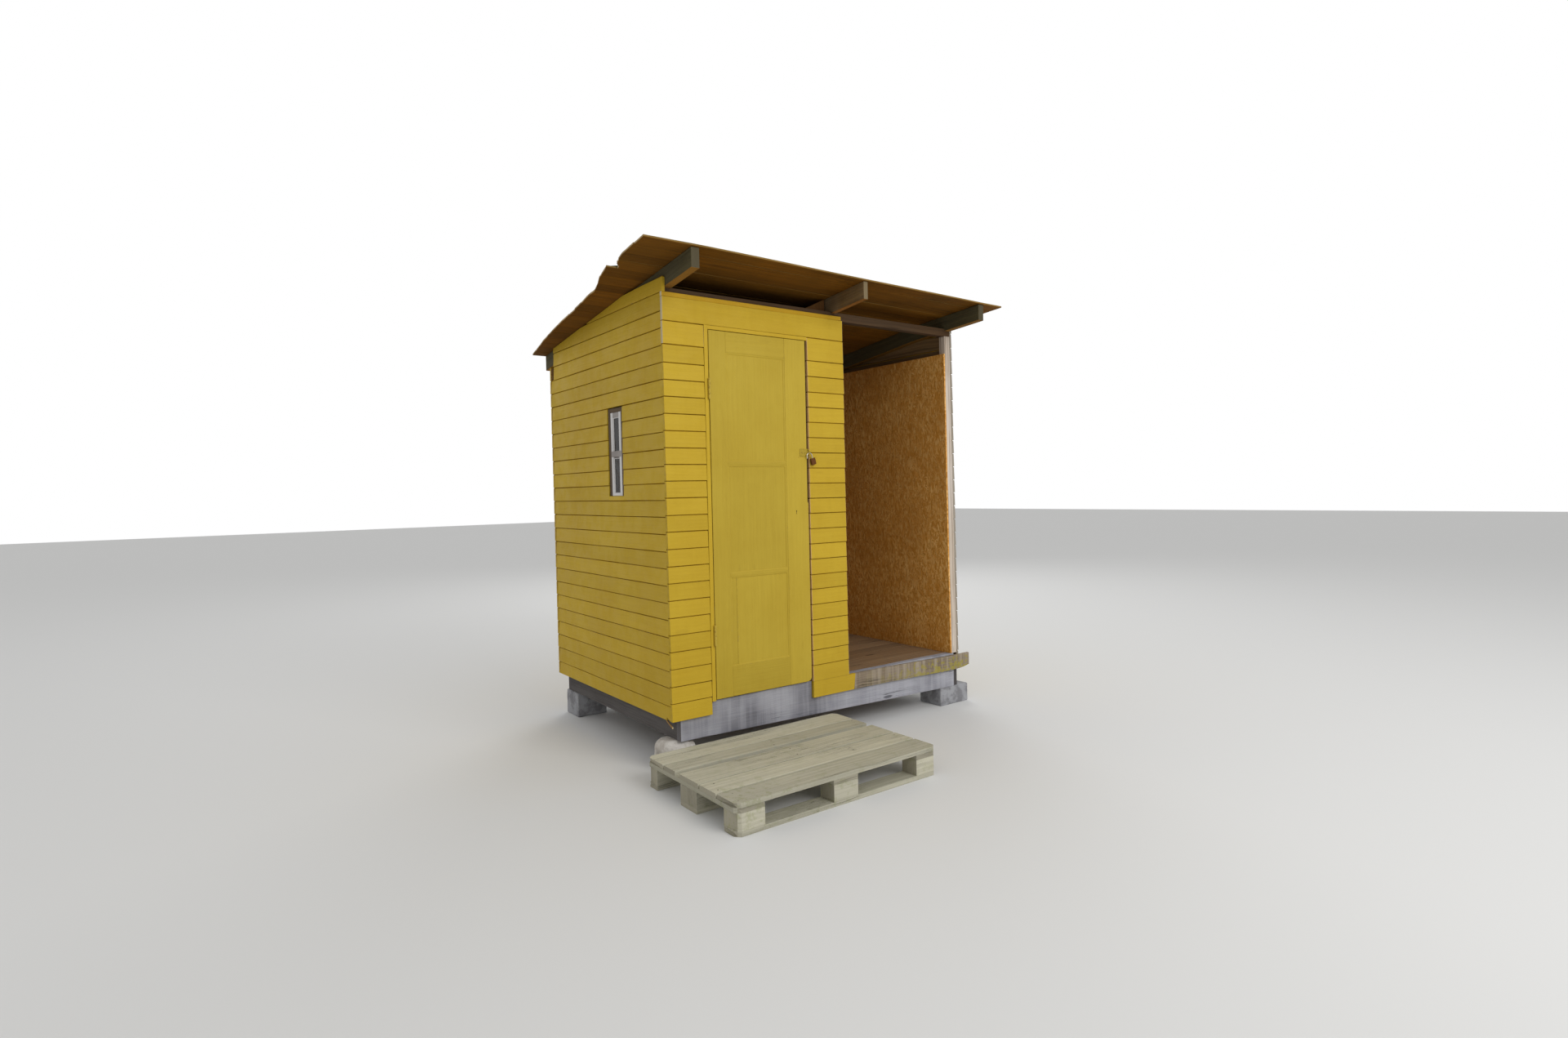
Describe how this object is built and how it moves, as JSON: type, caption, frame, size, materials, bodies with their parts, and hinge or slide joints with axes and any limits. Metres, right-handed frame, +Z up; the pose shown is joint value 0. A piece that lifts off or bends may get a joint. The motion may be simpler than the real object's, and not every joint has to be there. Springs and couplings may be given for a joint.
{
  "type": "wooden outhouse",
  "caption": "Small yellow boarded outhouse with a panelled hinged door, a narrow side window, an open storage bay, a sloping roof on rafters and a pallet as its step.",
  "frame": {"origin": "on the level ground, in the middle of the whole plan's box", "axes": "+X right along the front as one faces the door, +Y from the front to the back, +Z up"},
  "size_m": [2.536, 2.505, 2.6172],
  "materials": {
    "yellow_boards": "old oil paint",
    "yellow_door": "old oil paint",
    "grey_sill": "weathered",
    "frame_wood": "raw",
    "grey_post": "weathered",
    "floor_wood": "worn",
    "strand_board": "pressed strands",
    "roof_wood": "raw",
    "roof_felt": "bitumen",
    "window_paint": "old paint",
    "window_lining": "dark, weathered",
    "glass": "dusty",
    "hinge_paint": "painted over",
    "hasp_paint": "painted over, screws bare",
    "lock_steel": "polished",
    "lock_brown": "dark brown, worn",
    "field_stone": "rough",
    "concrete": "cast, rough",
    "pallet_wood": "weathered, green-grey"
  },
  "bodies": {
    "hut": {"natural_stones": "field_stone", "ground_blocks": "concrete", "sill_front": "grey_sill", "sill_back": "grey_sill", "sill_sides": "grey_sill", "floor_joists": "frame_wood", "cabin_floor": "floor_wood", "bay_floor": "floor_wood", "bottom_board_right": "yellow_boards", "wall_posts": "frame_wood", "door_posts": "frame_wood", "door_head": "frame_wood", "door_stops": "frame_wood", "window_studs": "frame_wood", "bay_posts": "grey_post", "front_plate": "frame_wood", "back_plate": "frame_wood", "rafters": "roof_wood", "gap_board": "frame_wood", "front_wall_left": "yellow_boards", "front_wall_right": "yellow_boards", "fascia": "yellow_boards", "fascia_cap": "yellow_boards", "door_casing": "yellow_boards", "left_wall": "yellow_boards", "back_wall": "yellow_boards", "right_wall": "yellow_boards", "partition_wall": "frame_wood", "strand_board": "strand_board", "window_lining": "window_lining", "window_sash": "window_paint", "window_glass": "glass", "hinge_pins": "hinge_paint", "roof_boards": "roof_wood", "roof_felt": "roof_felt", "step_deck": "pallet_wood", "step_cross_boards": "pallet_wood", "step_blocks": "pallet_wood", "step_runners": "pallet_wood"},
    "door": {"door_leaf": "yellow_door", "door_panels": "yellow_door", "hinge_barrels": "hinge_paint", "door_hasp": "hasp_paint", "padlock_bow": "lock_steel", "padlock_case": "lock_brown"}
  },
  "joints": [
    {"name": "door_hinge", "type": "hinge", "parent": "hut", "child": "door", "pos_m": [-0.766, -0.4255, 0], "axis": [0, 0, -1], "range_deg": [0, 160]}
  ]
}
